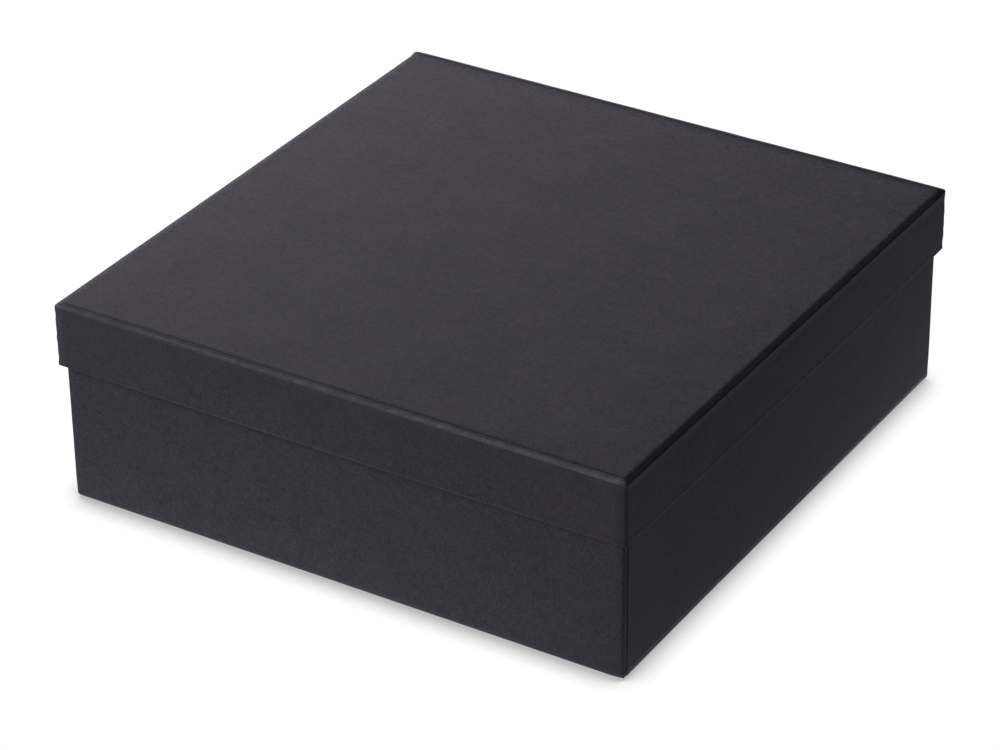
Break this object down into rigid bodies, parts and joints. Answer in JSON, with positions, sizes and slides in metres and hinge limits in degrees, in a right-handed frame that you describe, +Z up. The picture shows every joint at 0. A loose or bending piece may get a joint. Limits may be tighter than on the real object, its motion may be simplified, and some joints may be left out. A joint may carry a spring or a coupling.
{
  "type": "gift box",
  "caption": "Nearly square rigid gift box with a lift-off lid over its rim, in greyboard covered with black uncoated paper.",
  "frame": {"origin": "centre of the underside, on the surface that the box stands on", "axes": "+Z up, along the lid's lift; the front wall faces -Y and the wall with the base's paper seam faces +X"},
  "size_m": [0.3056, 0.3116, 0.106],
  "materials": {
    "cover_paper": "black dyed uncoated paper, matte, lightly mottled",
    "lining_paper": "black uncoated lining paper, matte",
    "bottom_paper": "black uncoated sheet under the base, matte",
    "greyboard": "recycled grey board, rough and speckled",
    "kraft_tape": "brown gummed kraft tape"
  },
  "bodies": {
    "base": {"base_blank": "greyboard", "base_liner": "lining_paper", "base_wrap": "cover_paper", "base_corner_stay_front_left": "kraft_tape", "base_corner_stay_front_right": "kraft_tape", "base_corner_stay_back_left": "kraft_tape", "base_corner_stay_back_right": "kraft_tape", "base_bottom_sheet": "bottom_paper"},
    "lid": {"lid_blank": "greyboard", "lid_liner": "lining_paper", "lid_wrap": "cover_paper", "lid_corner_stay_front_left": "kraft_tape", "lid_corner_stay_front_right": "kraft_tape", "lid_corner_stay_back_left": "kraft_tape", "lid_corner_stay_back_right": "kraft_tape"}
  },
  "joints": [
    {"name": "lid_lift", "type": "slide", "parent": "base", "child": "lid", "axis": [0, 0, 1], "range_m": [0, 0.12]}
  ]
}
